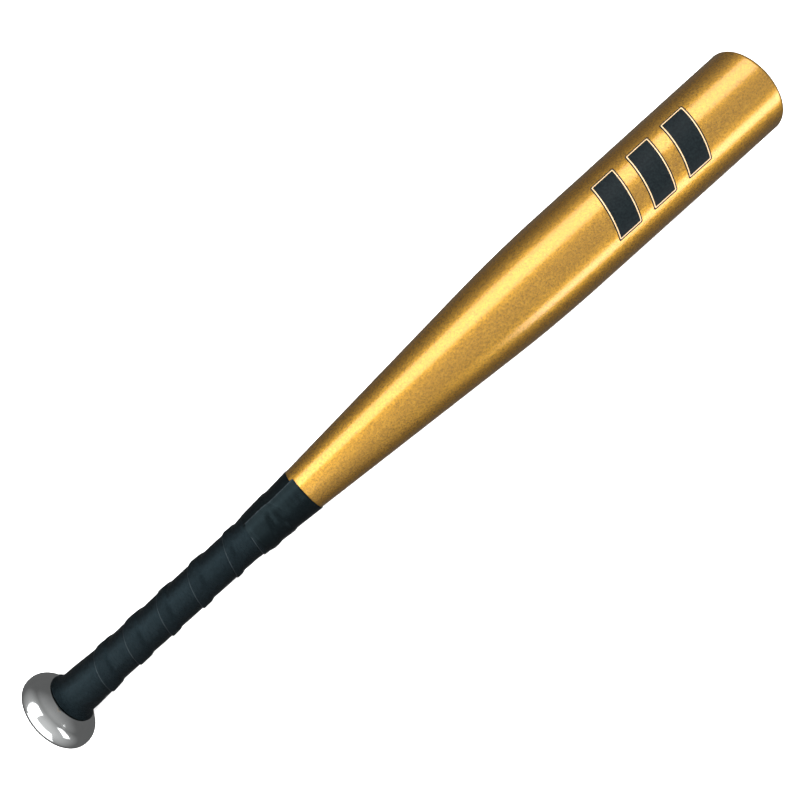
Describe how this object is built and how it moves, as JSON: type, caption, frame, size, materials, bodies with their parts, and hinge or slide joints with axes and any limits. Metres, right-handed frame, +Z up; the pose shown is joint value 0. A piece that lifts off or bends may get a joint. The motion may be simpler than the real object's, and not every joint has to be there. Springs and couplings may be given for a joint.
{
  "type": "baseball bat",
  "caption": "Short one-piece metal baseball bat with a gold painted barrel, a wrapped black handle grip and a polished round knob, lying at rest.",
  "frame": {"origin": "on the floor below the middle of the bat's bounding box, the bat lying on its knob and barrel", "axes": "+X along the bat from the knob to the barrel's end, +Z up, +Y across; the bat's own axis leans 0.34 degrees from +X because the knob is smaller than the barrel"},
  "size_m": [0.5382, 0.0544, 0.0552],
  "materials": {
    "gold_paint": "metallic gold paint with a fine flake under clear lacquer",
    "polished_aluminium": "mirror polished, with faint turning marks",
    "weld_aluminium": "as welded, rippled",
    "cushion_tape": "thin felt-backed adhesive tape",
    "leatherette": "black synthetic leather, fine grain, soft sheen",
    "vinyl_tape": "glossy black vinyl tape",
    "cap_plastic": "moulded black plastic, fine matte texture",
    "printed_film": "black print with a cream keyline, satin"
  },
  "bodies": {
    "root": {"barrel_shell": "gold_paint", "end_cap": "cap_plastic", "knob": "polished_aluminium", "knob_weld": "weld_aluminium", "grip_underwrap": "cushion_tape", "grip_wrap": "leatherette", "finishing_tape": "vinyl_tape", "decal_bar_1": "printed_film", "decal_bar_2": "printed_film", "decal_bar_3": "printed_film"}
  },
  "joints": []
}
